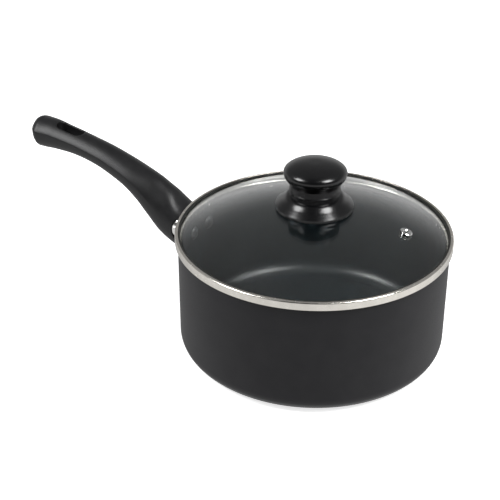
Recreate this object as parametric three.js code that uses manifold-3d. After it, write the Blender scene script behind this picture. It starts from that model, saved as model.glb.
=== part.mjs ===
// Saucepan with a glass lid: an 18 cm coated aluminium pan, a riveted bracket with a phenolic
// handle, and a domed glass lid with a steel rim band, a steam vent and a knob.
// Millimetres, +Z up, origin at the centre of the base. The handle points along -X.

import * as THREE from 'three';
import { mergeVertices } from 'three/addons/utils/BufferGeometryUtils.js';
import { LoftGeometry } from 'three/addons/geometries/LoftGeometry.js';
import Module from 'manifold-3d';

const wasm = await Module();
wasm.setup();

// Rounding, clearance between neighbours, and how far a cutter runs past what it cuts
const BIG_SEGMENTS = 56;
const KNOB_SEGMENTS = 32;
const SMALL_SEGMENTS = 16;
const ARC_STEPS = 5;
const FIT_GAP = 0.3;
const OVERRUN = 5;
const HALF_TURN = Math.PI;
const QUARTER_TURN = Math.PI / 2;

// Pan
const PAN_INNER_R = 90;
const PAN_OUTER_R = 92;
const PAN_HEIGHT = 80;
const PAN_FLOOR = 3.6;
const PAN_OUTER_CORNER_R = 12;
const PAN_INNER_CORNER_R = 11;
const RIM_ROUND = 1;

// Handle bracket, its rivets and the flame guard. Radial places are distances from the pan's axis.
const RIVET_Z = 63;
const RIVET_SIDE_ANGLE = THREE.MathUtils.degToRad(6);
const RIVET_SHANK_R = 2.5;
const RIVET_HOLE_R = RIVET_SHANK_R + FIT_GAP + 0.1;
const PLATE_INNER_R = PAN_OUTER_R + 0.35;
const PLATE_THICKNESS = 1.8;
const PLATE_SIZE = { width: 27.4, height: 16.8, corner: 6.3 };
const GUARD_SIZE = { width: 30, height: 19.4, corner: 7.6 };
const GUARD_WALL = 0.9;
const GUARD_Z = 64.8;
const GUARD_REACH = 30;
const GUARD_INNER_R = PAN_OUTER_R + FIT_GAP + 0.1;
const GUARD_GROOVE = { z: 68, height: 0.8, depth: 0.4 };
const TANG_THICKNESS = 3;
const TANG_WIDTH = 9;
const TANG_START = [93.6, 64];
const TANG_BEND = [104, 64.6];
const TANG_END = [126, 79.5];
const TANG_BOSS_R = 4.2;
const TANG_BOSS_HEIGHT = 4.2;

// Handle: stations as [distance from the pan's axis, height of the crease along its two sides,
// rise of the top above the crease, drop of the underside below it, width]
const HANDLE_STATIONS = [
  [100.5, 61.5, 15.2, 14.9, 31.2],
  [107, 64.6, 15.3, 14.7, 31],
  [114, 69.5, 15.1, 14.5, 30.7],
  [122, 77.3, 13.9, 13.7, 29.5],
  [131.6, 85.9, 11.5, 12.9, 27.8],
  [144, 93.9, 7.9, 12, 25.6],
  [157.2, 99.3, 7.2, 10.9, 23.6],
  [170, 103.6, 6.8, 10.2, 22.2],
  [182.8, 106.7, 6.6, 9.9, 21.6],
  [195.6, 109.4, 6.5, 10.8, 21.6],
  [208.4, 111.4, 6.8, 12.5, 22.6],
  [218, 112.8, 7.2, 14.1, 23.9],
  [226, 112.9, 7.6, 14.1, 25.4],
];
const HANDLE_TIP_R = 233.7;
const HANDLE_TIP_Z = 114.4;
const HANDLE_BODY_SECTIONS = 24;
const HANDLE_TIP_SECTIONS = 6;
const HANDLE_SECTION_POINTS = 24;
const HANDLE_TILT_BLEND = 26;
const UNDERSIDE_POWER = 2 / 2.6;
const TOP_RISE_POWER = 1.8;
const TOP_ARCH_FROM_R = 103;
const TOP_ARCH_TO_R = 136;
const ROOT_HOLLOW = { r: 94.5, z: GUARD_Z, radius: 11.3 };
const ROOT_HOLLOW_LENGTH = 60;
const SOCKET_BELOW = 2.1;
const SOCKET_ABOVE = 6.4;
const SOCKET_WIDTH = 10.2;
const SOCKET_END_GAP = 1.5;
const HANG_SLOT = { centre: 203.4, z: 110, length: 23, width: 9.5, tilt: THREE.MathUtils.degToRad(8) };

// Handle screw, along the line square to the tang
const HANDLE_SCREW_ALONG = 15;
const HANDLE_SCREW = { shankR: 1.95, headR: 3.7, headTop: -7.7, headBottom: -10.4, tip: 4.2 };
const HANDLE_SEAT = -6.5;
const HANDLE_COUNTERBORE_R = 4.8;
const HANDLE_COUNTERBORE_LENGTH = 20;
const HANDLE_SCREW_HOLE_R = 2.4;

// Lid glass: a dome of one radius
const GLASS_APEX_Z = 105.9;
const GLASS_DOME_R = 208;
const GLASS_THICKNESS = 3.4;
const GLASS_EDGE_R = 91.6;
const GLASS_SCREW_HOLE_R = 3.2;
const GLASS_RINGS = 8;

// Steam vent
const VENT_R = 63.3;
const VENT_ANGLE = THREE.MathUtils.degToRad(10);
const VENT_HOLE_R = 3.3;

// Knob
const KNOB_SCREW_R = 1.9;
const KNOB_INSERT_BORE_R = 2.1;
const KNOB_SCREW_SLOT = { length: 4.4, width: 0.9, depth: 2.6, z: 97.6 };

const materials = {
  coating: new THREE.MeshStandardMaterial({ color: 0x2f2f33, roughness: 0.55, metalness: 0.1 }),
  phenolic: new THREE.MeshStandardMaterial({ color: 0x17171a, roughness: 0.4, metalness: 0 }),
  steel: new THREE.MeshStandardMaterial({ color: 0xc9c7c0, roughness: 0.28, metalness: 1 }),
  plainSteel: new THREE.MeshStandardMaterial({ color: 0x9a9a98, roughness: 0.45, metalness: 1 }),
  brass: new THREE.MeshStandardMaterial({ color: 0xb9924a, roughness: 0.4, metalness: 1 }),
  silicone: new THREE.MeshStandardMaterial({ color: 0x2b2c2c, roughness: 0.7, metalness: 0 }),
  glass: new THREE.MeshStandardMaterial({
    color: 0xdfe8e6, roughness: 0.03, metalness: 0, transparent: true, opacity: 0.3,
  }),
};

// Solid helpers

function bare(geometry) {
  const plain = new THREE.BufferGeometry().copy(geometry);
  plain.deleteAttribute('normal');
  plain.deleteAttribute('uv');
  return mergeVertices(plain);
}

function toSolid(geometry) {
  const merged = bare(geometry);
  const index = merged.getIndex().array;
  const triVerts = [];
  for (let i = 0; i < index.length; i += 3) {
    const [a, b, c] = [index[i], index[i + 1], index[i + 2]];
    if (a !== b && b !== c && c !== a) {
      triVerts.push(a, b, c);
    }
  }
  return new wasm.Manifold(new wasm.Mesh({
    numProp: 3,
    vertProperties: new Float32Array(merged.getAttribute('position').array),
    triVerts: new Uint32Array(triVerts),
  }));
}

function toGeometry(solid) {
  const mesh = solid.getMesh();
  const geometry = new THREE.BufferGeometry();
  geometry.setAttribute('position', new THREE.BufferAttribute(mesh.vertProperties, 3));
  geometry.setIndex(new THREE.BufferAttribute(mesh.triVerts, 1));
  geometry.computeVertexNormals();
  return geometry;
}

function subtractAll(geometry, cutters) {
  return toGeometry(cutters.reduce((solid, cutter) => solid.subtract(toSolid(cutter)), toSolid(geometry)));
}

function node(name, geometry, material) {
  const mesh = new THREE.Mesh(geometry, material);
  mesh.name = name;
  return mesh;
}

// Revolves [radius, height] points about +Z. The points run anticlockwise round the material,
// with radius to the right and height up.
function revolve(points, segments) {
  const profile = points.map(([r, z]) => new THREE.Vector2(r, z));
  return new THREE.LatheGeometry(profile, segments).rotateX(QUARTER_TURN);
}

function closed(points) {
  return [...points, points[0]];
}

function arc(centreR, centreZ, radius, fromDeg, toDeg, steps = ARC_STEPS) {
  return Array.from({ length: steps + 1 }, (_, i) => {
    const angle = THREE.MathUtils.degToRad(fromDeg + (toDeg - fromDeg) * i / steps);
    return [centreR + radius * Math.cos(angle), centreZ + radius * Math.sin(angle)];
  });
}

function disc(radius, fromZ, toZ, segments = SMALL_SEGMENTS) {
  return revolve([[0, fromZ], [radius, fromZ], [radius, toZ], [0, toZ]], segments);
}

function ring(innerR, outerR, fromZ, toZ, segments = SMALL_SEGMENTS) {
  return revolve(closed([[innerR, fromZ], [outerR, fromZ], [outerR, toZ], [innerR, toZ]]), segments);
}

function roundedRectangle({ width, height, corner }) {
  const shape = new THREE.Shape();
  const [x, y] = [width / 2, height / 2];
  shape.moveTo(-x + corner, -y);
  shape.lineTo(x - corner, -y);
  shape.absarc(x - corner, -y + corner, corner, -QUARTER_TURN, 0, false);
  shape.lineTo(x, y - corner);
  shape.absarc(x - corner, y - corner, corner, 0, QUARTER_TURN, false);
  shape.lineTo(-x + corner, y);
  shape.absarc(-x + corner, y - corner, corner, QUARTER_TURN, HALF_TURN, false);
  shape.lineTo(-x, -y + corner);
  shape.absarc(-x + corner, -y + corner, corner, HALF_TURN, 3 * QUARTER_TURN, false);
  return shape;
}

// Extrudes a shape drawn across the handle (width along Y, height along Z) outward along +X
function extrudeOutward(shape, fromX, length, z) {
  const geometry = new THREE.ExtrudeGeometry(shape, { depth: length, bevelEnabled: false, curveSegments: 5 });
  return geometry.rotateX(QUARTER_TURN).rotateZ(QUARTER_TURN).translate(fromX, 0, z);
}

// Extrudes a side outline of [distance, height] points to both sides of the XZ plane
function extrudeSideways(points, width) {
  const shape = new THREE.Shape(points.map(([r, z]) => new THREE.Vector2(r, z)));
  const geometry = new THREE.ExtrudeGeometry(shape, { depth: width, bevelEnabled: false });
  return geometry.translate(0, 0, -width / 2).rotateX(QUARTER_TURN);
}

// Pan

function panProfile() {
  const outerCorner = arc(
    PAN_OUTER_R - PAN_OUTER_CORNER_R, PAN_OUTER_CORNER_R, PAN_OUTER_CORNER_R, -90, 0);
  const rim = arc(PAN_OUTER_R - RIM_ROUND, PAN_HEIGHT - RIM_ROUND, RIM_ROUND, 0, 180, 4);
  const innerCorner = arc(
    PAN_INNER_R - PAN_INNER_CORNER_R, PAN_FLOOR + PAN_INNER_CORNER_R, PAN_INNER_CORNER_R, 0, -90);
  return [[0, 0], ...outerCorner, ...rim, ...innerCorner, [0, PAN_FLOOR]];
}

// Turns a cylinder or rivet drawn along +Z to point outward from the pan at a side angle
function pointOutward(geometry, angle, z) {
  return geometry.rotateY(QUARTER_TURN).rotateZ(angle).translate(0, 0, z);
}

function rivetHoles() {
  const fromR = PAN_INNER_R - OVERRUN;
  const toR = PAN_OUTER_R + OVERRUN;
  return [-1, 1].map((side) =>
    pointOutward(disc(RIVET_HOLE_R, fromR, toR), side * RIVET_SIDE_ANGLE, RIVET_Z));
}

function panBody() {
  const holes = rivetHoles().map((hole) => hole.rotateZ(HALF_TURN));
  return node('pan_body', subtractAll(revolve(panProfile(), BIG_SEGMENTS), holes), materials.coating);
}

// Handle fittings, drawn along +X and turned round to -X with their group

function rivet(side) {
  const insideHead = PAN_INNER_R - 0.5;
  const outsideHead = PLATE_INNER_R + PLATE_THICKNESS + 0.4;
  const profile = [
    [0, insideHead - 1.6],
    [2.5, insideHead - 1.4],
    [4, insideHead - 0.8],
    [4.5, insideHead - 0.3],
    [4.5, insideHead],
    [RIVET_SHANK_R, insideHead],
    [RIVET_SHANK_R, outsideHead],
    [3.3, outsideHead],
    [3.3, outsideHead + 0.8],
    [2.6, outsideHead + 1.3],
    [0, outsideHead + 1.4],
  ];
  return pointOutward(revolve(profile, SMALL_SEGMENTS), side * RIVET_SIDE_ANGLE, RIVET_Z);
}

function bracketPlate() {
  const wall = ring(
    PLATE_INNER_R,
    PLATE_INNER_R + PLATE_THICKNESS,
    GUARD_Z - PLATE_SIZE.height,
    GUARD_Z + PLATE_SIZE.height,
    BIG_SEGMENTS,
  );
  const windowFromR = PAN_INNER_R - PLATE_THICKNESS;
  const window = extrudeOutward(roundedRectangle(PLATE_SIZE), windowFromR, GUARD_REACH, GUARD_Z);
  return toSolid(wall).intersect(toSolid(window));
}

// The outline of a strip round the tang's bent middle line, offset below and above it
function tangOutline(below, above, endExtra, startR) {
  const slope = Math.atan2(TANG_END[1] - TANG_BEND[1], TANG_END[0] - TANG_BEND[0]);
  const [along, up] = [[Math.cos(slope), Math.sin(slope)], [-Math.sin(slope), Math.cos(slope)]];
  const mitre = Math.tan(slope / 2);
  const end = [TANG_END[0] + along[0] * endExtra, TANG_END[1] + along[1] * endExtra];
  return [
    [startR, TANG_START[1] - below],
    [TANG_BEND[0] + below * mitre, TANG_BEND[1] - below],
    [end[0] - up[0] * below, end[1] - up[1] * below],
    [end[0] + up[0] * above, end[1] + up[1] * above],
    [TANG_BEND[0] - above * mitre, TANG_BEND[1] + above],
    [startR, TANG_START[1] + above],
  ];
}

// Places geometry drawn along +Z so that its origin is on the tang and +Z is square to it
function atHandleScrew(geometry) {
  const slope = Math.atan2(TANG_END[1] - TANG_BEND[1], TANG_END[0] - TANG_BEND[0]);
  const x = TANG_BEND[0] + HANDLE_SCREW_ALONG * Math.cos(slope);
  const z = TANG_BEND[1] + HANDLE_SCREW_ALONG * Math.sin(slope);
  return geometry.rotateY(-slope).translate(x, 0, z);
}

function bracket() {
  const half = TANG_THICKNESS / 2;
  const tang = extrudeSideways(tangOutline(half, half, 0, TANG_START[0]), TANG_WIDTH);
  const boss = atHandleScrew(disc(TANG_BOSS_R, 0, half + TANG_BOSS_HEIGHT));
  const threadTop = half + TANG_BOSS_HEIGHT + OVERRUN;
  const thread = atHandleScrew(disc(HANDLE_SCREW.shankR + FIT_GAP, -half - OVERRUN, threadTop));
  const solid = bracketPlate().add(toSolid(tang)).add(toSolid(boss)).subtract(toSolid(thread));
  return toGeometry(rivetHoles().reduce((left, hole) => left.subtract(toSolid(hole)), solid));
}

// The round hollow across the handle's root, which the flame guard's outer edge follows
function rootHollow(gap) {
  const { r, z, radius } = ROOT_HOLLOW;
  return new THREE.CylinderGeometry(radius - gap, radius - gap, ROOT_HOLLOW_LENGTH, BIG_SEGMENTS)
    .translate(r, 0, z);
}

function guardGroove(side) {
  const { z, height, depth } = GUARD_GROOVE;
  return new THREE.BoxGeometry(GUARD_REACH, 2 * depth, height)
    .translate(PAN_OUTER_R + GUARD_REACH / 2, side * GUARD_SIZE.width / 2, z);
}

// Everything past the middle of the root hollow, apart from the hollow itself
function beyondGuard() {
  const block = new THREE.BoxGeometry(GUARD_REACH, ROOT_HOLLOW_LENGTH, ROOT_HOLLOW_LENGTH)
    .translate(ROOT_HOLLOW.r + GUARD_REACH / 2, 0, GUARD_Z);
  return toGeometry(toSolid(block).subtract(toSolid(rootHollow(FIT_GAP))));
}

function flameGuard() {
  const inner = {
    width: GUARD_SIZE.width - 2 * GUARD_WALL,
    height: GUARD_SIZE.height - 2 * GUARD_WALL,
    corner: GUARD_SIZE.corner - GUARD_WALL,
  };
  const sleeve = extrudeOutward(
    roundedRectangle(GUARD_SIZE), PAN_OUTER_R - OVERRUN, GUARD_REACH, GUARD_Z);
  const bore = extrudeOutward(
    roundedRectangle(inner), PAN_OUTER_R - 2 * OVERRUN, GUARD_REACH + 2 * OVERRUN, GUARD_Z);
  const panWall = disc(GUARD_INNER_R, 0, PAN_HEIGHT, BIG_SEGMENTS);
  return subtractAll(sleeve, [bore, panWall, guardGroove(-1), guardGroove(1), beyondGuard()]);
}

// Handle

function signedPower(value, power) {
  return Math.sign(value) * Math.abs(value) ** power;
}

// One section of the handle. The underside is a squarish round. The top is the same round at the
// root (arch 0) and a shallow arch along the grip (arch 1), which leaves a crease at each side.
function section(r, z, [rise, drop, width], tilt, arch) {
  const topSidePower = THREE.MathUtils.lerp(UNDERSIDE_POWER, 1, arch);
  const topRisePower = THREE.MathUtils.lerp(UNDERSIDE_POWER, TOP_RISE_POWER, arch);
  return Array.from({ length: HANDLE_SECTION_POINTS }, (_, i) => {
    const angle = 2 * Math.PI * i / HANDLE_SECTION_POINTS;
    const [c, s] = [Math.cos(angle), Math.sin(angle)];
    const isTop = i <= HANDLE_SECTION_POINTS / 2;
    const across = signedPower(c, isTop ? topSidePower : UNDERSIDE_POWER) * width / 2;
    const up = isTop ? rise * Math.abs(s) ** topRisePower : drop * signedPower(s, UNDERSIDE_POWER);
    return new THREE.Vector3(r - up * Math.sin(tilt), across, z + up * Math.cos(tilt));
  });
}

function stationCurve(pick) {
  return new THREE.SplineCurve(HANDLE_STATIONS.map((station) => new THREE.Vector2(...pick(station))));
}

function handleBodySections() {
  const middle = stationCurve(([r, z]) => [r, z]);
  const heights = stationCurve(([, , rise, drop]) => [rise, drop]);
  const widths = stationCurve(([r, , , , width]) => [r, width]);
  return Array.from({ length: HANDLE_BODY_SECTIONS + 1 }, (_, i) => {
    const t = i / HANDLE_BODY_SECTIONS;
    const [point, height, tangent] = [middle.getPoint(t), heights.getPoint(t), middle.getTangent(t)];
    const blend = Math.min(1, (point.x - HANDLE_STATIONS[0][0]) / HANDLE_TILT_BLEND);
    const tilt = Math.atan2(tangent.y, tangent.x) * blend;
    const arch = THREE.MathUtils.smoothstep(point.x, TOP_ARCH_FROM_R, TOP_ARCH_TO_R);
    return section(point.x, point.y, [height.x, height.y, widths.getPoint(t).y], tilt, arch);
  });
}

function handleTipSections() {
  const [last, beforeLast] = [HANDLE_STATIONS.at(-1), HANDLE_STATIONS.at(-2)];
  const [lastR, lastZ, ...lastSize] = last;
  const lastTilt = Math.atan2(lastZ - beforeLast[1], lastR - beforeLast[0]);
  return Array.from({ length: HANDLE_TIP_SECTIONS }, (_, i) => {
    const angle = QUARTER_TURN * (i + 1) / (HANDLE_TIP_SECTIONS + 0.3);
    const along = i === HANDLE_TIP_SECTIONS - 1 ? 1 : Math.sin(angle);
    const r = THREE.MathUtils.lerp(lastR, HANDLE_TIP_R, along);
    const z = THREE.MathUtils.lerp(lastZ, HANDLE_TIP_Z, along);
    const size = lastSize.map((length) => length * Math.cos(angle));
    return section(r, z, size, lastTilt * (1 - along), 1);
  });
}

function hangSlot() {
  const { centre, z, length, width, tilt } = HANG_SLOT;
  const depth = 2 * length;
  const outline = roundedRectangle({ width: length, height: width, corner: width / 2 - 0.01 });
  return new THREE.ExtrudeGeometry(outline, { depth, bevelEnabled: false, curveSegments: 8 })
    .translate(0, 0, -depth / 2)
    .rotateY(-tilt)
    .translate(centre, 0, z);
}

function handle() {
  const sections = [...handleBodySections(), ...handleTipSections()];
  const loft = new LoftGeometry(sections, { capStart: true, capEnd: true });
  const socketOutline = tangOutline(SOCKET_BELOW, SOCKET_ABOVE, SOCKET_END_GAP, TANG_START[0]);
  const socket = extrudeSideways(socketOutline, SOCKET_WIDTH);
  const screwHole = atHandleScrew(disc(HANDLE_SCREW_HOLE_R, HANDLE_SEAT - 1, 0));
  const counterboreBottom = HANDLE_SEAT - HANDLE_COUNTERBORE_LENGTH;
  const counterbore = atHandleScrew(disc(HANDLE_COUNTERBORE_R, counterboreBottom, HANDLE_SEAT));
  return subtractAll(loft, [rootHollow(0), socket, screwHole, counterbore, hangSlot()]);
}

function handleScrew() {
  const { shankR, headR, headTop, headBottom, tip } = HANDLE_SCREW;
  return atHandleScrew(revolve([
    [0, headBottom],
    [headR - 1, headBottom],
    [headR, headBottom + 1],
    [headR, headTop],
    [shankR, headTop],
    [shankR, tip - 0.6],
    [shankR - 0.6, tip],
    [0, tip],
  ], SMALL_SEGMENTS));
}

function handleWasher() {
  const top = HANDLE_SEAT - FIT_GAP;
  return atHandleScrew(ring(HANDLE_SCREW.shankR + FIT_GAP, 4.4, top - 0.7, top));
}

function handleAssembly() {
  const group = new THREE.Group();
  group.add(node('handle_bracket', bracket(), materials.plainSteel));
  group.add(node('bracket_rivet_left', rivet(1), materials.coating));
  group.add(node('bracket_rivet_right', rivet(-1), materials.coating));
  group.add(node('flame_guard', flameGuard(), materials.steel));
  group.add(node('handle', handle(), materials.phenolic));
  group.add(node('handle_screw', handleScrew(), materials.plainSteel));
  group.add(node('handle_screw_washer', handleWasher(), materials.plainSteel));
  group.rotation.z = HALF_TURN;
  return group;
}

// Lid

function domeZ(r) {
  return GLASS_APEX_Z - GLASS_DOME_R + Math.sqrt(GLASS_DOME_R ** 2 - r ** 2);
}

function glassRadii() {
  const step = (GLASS_EDGE_R - GLASS_SCREW_HOLE_R) / GLASS_RINGS;
  return Array.from({ length: GLASS_RINGS + 1 }, (_, i) => GLASS_SCREW_HOLE_R + step * i);
}

// Places geometry drawn along +Z on the dome at the vent, square to the glass
function atVent(geometry) {
  return geometry
    .rotateY(Math.asin(VENT_R / GLASS_DOME_R))
    .translate(VENT_R, 0, domeZ(VENT_R))
    .rotateZ(VENT_ANGLE);
}

function lidGlass() {
  const radii = glassRadii();
  const top = radii.map((r) => [r, domeZ(r)]);
  const bottom = radii.map((r) => [r, domeZ(r) - GLASS_THICKNESS]);
  const dome = revolve(closed([...bottom, ...top.reverse()]), BIG_SEGMENTS);
  const hole = atVent(disc(VENT_HOLE_R, -GLASS_THICKNESS - OVERRUN, OVERRUN));
  return node('lid_glass', subtractAll(dome, [hole]), materials.glass);
}

// One folded strip: a lip over the glass, the outer face, a lower lip and an inner flange
function lidRimBand() {
  const profile = [
    [91.8, 86.5], [91.8, 85.9], [92.4, 85.9], [93.4, 84.9], [93.4, 81.6], [92.6, 80.8],
    [89.6, 80.8], [88.6, 79.8], [88.6, 75.6], [89.2, 75.6], [89.2, 79.4], [90, 80.2],
    [92.9, 80.2], [93.7, 80.7], [94, 81.6], [94, 84.6], [93.75, 85.55], [93.1, 86.25], [92.1, 86.5],
  ];
  return node('lid_rim_band', revolve(closed(profile), BIG_SEGMENTS), materials.steel);
}

// A soft ring of U section round the edge of the glass
function lidRimSeal() {
  const profile = [
    [90.3, 86.2], [90.3, 85.44], [91.75, 84.78], [91.75, 81.05], [90.2, 81.45],
    [90.2, 80.95], [92.4, 80.95], [93.2, 81.75], [93.2, 84.8], [92.2, 85.78], [91.6, 85.85],
    [91.5, 86.2],
  ];
  return node('lid_rim_seal', revolve(closed(profile), BIG_SEGMENTS), materials.silicone);
}

function ventEyelet() {
  const profile = [
    [1.4, -5.3], [3.9, -5.3], [3.9, -4.7], [2.95, -4.7], [2.95, 0.2], [4.1, 0.2],
    [4.1, 0.55], [3.8, 1], [3.2, 1.15], [2.2, 0.95], [1.4, 0.4],
  ];
  return node('vent_eyelet', atVent(revolve(closed(profile), SMALL_SEGMENTS)), materials.steel);
}

function ventWasher() {
  return node('vent_washer', atVent(ring(3.2, 4.3, -4.4, -3.6)), materials.silicone);
}

// Knob and what holds it

function knob() {
  const profile = [
    [0, 118.4], [3.7, 118.4], [3.7, 107.25], [8.5, 107.25], [9.2, 110], [15, 110.4],
    [21.5, 107.4], [24.2, 104.65], [26.1, 104.4], [26.5, 104.85], [26.25, 106.7],
    [24.6, 108], [23.3, 109.05], [22, 110.1], [20.8, 111.25], [19.7, 112.4], [18.6, 113.2],
    [17.4, 113.55], [17.1, 113.6], [17.1, 116.9], [17.45, 117.1], [17.45, 117.4], [17.1, 117.6],
    [17.1, 121.8], [17.5, 122.6], [18.5, 124.1], [19.9, 125.9], [20.8, 127.4], [21.2, 129.2],
    [20.9, 130.9], [19.8, 132.4], [17.6, 133.95], [14.4, 135.35], [10.2, 136.4], [5.3, 137],
    [0, 137.1],
  ];
  return node('knob', revolve(profile, KNOB_SEGMENTS), materials.phenolic);
}

function knobInsert() {
  const profile = [
    [KNOB_INSERT_BORE_R, 107.35], [3.4, 107.35], [3.4, 118.1], [0, 118.1], [0, 116.6],
    [KNOB_INSERT_BORE_R, 116.6],
  ];
  return node('knob_insert', revolve(closed(profile), SMALL_SEGMENTS), materials.brass);
}

function knobGasketUpper() {
  return node('knob_gasket_upper', ring(3.4, 8.3, 106, 107.1), materials.silicone);
}

function knobGasketLower() {
  const profile = [
    [2.3, 101.1], [7.5, 101.1], [7.5, 102.1], [2.9, 102.1], [2.9, 105.8], [2.3, 105.8],
  ];
  return node('knob_gasket_lower', revolve(closed(profile), SMALL_SEGMENTS), materials.silicone);
}

function knobWasher() {
  return node('knob_washer', ring(2.3, 6.5, 100.1, 100.9), materials.plainSteel);
}

function knobScrew() {
  const screw = revolve([
    [0, 97.4], [2.6, 97.6], [3.8, 98.4], [4.2, 99.2], [4.2, 99.9], [KNOB_SCREW_R, 99.9],
    [KNOB_SCREW_R, 114.6], [1.3, 115.2], [0, 115.2],
  ], SMALL_SEGMENTS);
  const { length, width, depth, z } = KNOB_SCREW_SLOT;
  const slot = new THREE.BoxGeometry(length, width, depth).translate(0, 0, z);
  const crossSlot = slot.clone().rotateZ(QUARTER_TURN);
  return node('knob_screw', subtractAll(screw, [slot, crossSlot]), materials.plainSteel);
}

function lidAssembly() {
  const group = new THREE.Group();
  group.add(lidGlass());
  group.add(lidRimBand());
  group.add(lidRimSeal());
  group.add(ventEyelet());
  group.add(ventWasher());
  group.add(knob());
  group.add(knobInsert());
  group.add(knobGasketUpper());
  group.add(knobGasketLower());
  group.add(knobWasher());
  group.add(knobScrew());
  return group;
}

const saucepan = new THREE.Group();
saucepan.add(panBody());
saucepan.add(handleAssembly());
saucepan.add(lidAssembly());

export default saucepan;
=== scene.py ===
"""Looks of the saucepan with a glass lid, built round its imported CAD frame.

Metres, +Z up, origin at the centre of the pan's base, handle along -X. Outlines are written in
millimetres, as (distance from the axis, height), and become metres where a mesh is made.
"""

import math

import bmesh
import bpy
from mathutils import Matrix, Vector
from mathutils.bvhtree import BVHTree


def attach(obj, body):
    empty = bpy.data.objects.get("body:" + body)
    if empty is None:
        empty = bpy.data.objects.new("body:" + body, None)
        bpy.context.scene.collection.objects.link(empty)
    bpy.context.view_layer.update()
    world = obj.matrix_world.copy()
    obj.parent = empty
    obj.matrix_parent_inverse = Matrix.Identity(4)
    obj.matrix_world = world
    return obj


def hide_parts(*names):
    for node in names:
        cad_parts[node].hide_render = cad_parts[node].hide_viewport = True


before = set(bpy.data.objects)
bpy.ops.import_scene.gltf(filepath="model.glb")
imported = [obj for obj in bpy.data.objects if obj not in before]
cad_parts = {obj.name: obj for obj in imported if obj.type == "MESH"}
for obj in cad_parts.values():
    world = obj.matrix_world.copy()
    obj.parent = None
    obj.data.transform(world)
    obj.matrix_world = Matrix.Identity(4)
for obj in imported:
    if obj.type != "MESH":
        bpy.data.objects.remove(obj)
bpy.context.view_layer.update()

MM = 0.001

# How finely round things are divided
SEGMENTS = 256
SMALL_SEGMENTS = 64
FILLET_STEPS = 6
SHARP_ANGLE = math.radians(38)

# How far a cutter runs past what it cuts, in millimetres
OVERRUN = 5
LONG_OVERRUN = 30

# Pan, in millimetres
PAN_INNER_R = 90
PAN_OUTER_R = 92
PAN_HEIGHT = 80
PAN_FLOOR = 3.6
PAN_OUTER_CORNER_R = 12
PAN_INNER_CORNER_R = 11
BASE_GROOVES = 22
BASE_GROOVE_FROM_R = 12
BASE_GROOVE_PITCH = 2.9
BASE_GROOVE_DEPTH = 0.22

# Rivets and flame guard
RIVET_Z = 63
RIVET_SIDE_ANGLE = math.radians(6)
RIVET_SHANK_R = 2.5
GUARD_SIZE = (30, 19.4)
GUARD_CORNER_R = 7.6
GUARD_WALL = 0.9
GUARD_EDGE_R = 0.3
GUARD_Z = 64.8
GUARD_GROOVE_Z = 68
GUARD_FROM_R = 92.2
GUARD_POINTS = 160

# Tang of the bracket, which the handle's socket and screw follow
TANG_START = Vector((93.6, 64))
TANG_BEND = Vector((104, 64.6))
TANG_END = Vector((126, 79.5))
TANG_SLOPE = math.atan2(TANG_END.y - TANG_BEND.y, TANG_END.x - TANG_BEND.x)

# Handle: distance from the pan's axis, height of the crease along its two sides, rise of the top
# above the crease, drop of the underside below it, width
HANDLE_STATIONS = [
    (100.5, 61.5, 15.2, 14.9, 31.2),
    (107, 64.6, 15.3, 14.7, 31),
    (114, 69.5, 15.1, 14.5, 30.7),
    (122, 77.3, 13.9, 13.7, 29.5),
    (131.6, 85.9, 11.5, 12.9, 27.8),
    (144, 93.9, 7.9, 12, 25.6),
    (157.2, 99.3, 7.2, 10.9, 23.6),
    (170, 103.6, 6.8, 10.2, 22.2),
    (182.8, 106.7, 6.6, 9.9, 21.6),
    (195.6, 109.4, 6.5, 10.8, 21.6),
    (208.4, 111.4, 6.8, 12.5, 22.6),
    (218, 112.8, 7.2, 14.1, 23.9),
    (226, 112.9, 7.6, 14.1, 25.4),
]
HANDLE_TIP = (233.7, 114.4)
HANDLE_TIP_STEPS = 28
HANDLE_STEPS = 12
HANDLE_POINTS = 96
HANDLE_TILT_BLEND = 26
HANDLE_ROOT_ROUND = 1.2
HANDLE_GAP = 0.3
UNDERSIDE_POWER = 2 / 2.6
TOP_RISE_POWER = 1.8
TOP_ARCH_FROM_R = 103
TOP_ARCH_TO_R = 136
ROOT_HOLLOW = (94.5, GUARD_Z)
ROOT_HOLLOW_R = 11.3
SOCKET_BELOW = 2.1
SOCKET_ABOVE = 6.4
SOCKET_WIDTH = 10.2
SLOT_CENTRE = (203.4, 110)
SLOT_LENGTH = 23
SLOT_WIDTH = 9.5
SLOT_TILT = math.radians(8)
SLOT_FILLET = 1.5
SLOT_POINTS = 96
SCREW_ALONG = 15
SCREW_SEAT = -6.5

# Lid
GLASS_APEX_Z = 105.9
GLASS_DOME_R = 208
GLASS_THICKNESS = 3.4
GLASS_EDGE_R = 91.6
GLASS_HOLE_R = 3.2
GLASS_RINGS = 64
VENT_R = 63.3
VENT_ANGLE = math.radians(10)
VENT_HOLE_R = 3.3

# Knob
KNOB_RIDGES = 6
KNOB_RIDGE_FROM_Z = 117.8
KNOB_RIDGE_PITCH = 0.66

# View and light
VIEW_TARGET = Vector((-0.05245, 0.0047, 0.05346))
VIEW_DISTANCE = 0.8547
VIEW_AZIMUTH = 30
VIEW_ELEVATION = 29.54
VIEW_LENS = 86.5
ROOM_HORIZON = 0.78
ROOM_ABOVE = 0.27
ROOM_BEHIND_CAMERA = 0.15
ROOM_BELOW = 0.8
ROOM_BEHIND_PAN = 0.62
ROOM_BELOW_RIGHT = 0.95


# Outlines


def arc(centre_r, centre_z, radius, start, end, steps=FILLET_STEPS):
    """Points on a circle, from one angle to another in degrees."""
    angles = [math.radians(start + (end - start) * i / steps) for i in range(steps + 1)]
    return [(centre_r + radius * math.cos(a), centre_z + radius * math.sin(a)) for a in angles]


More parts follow.
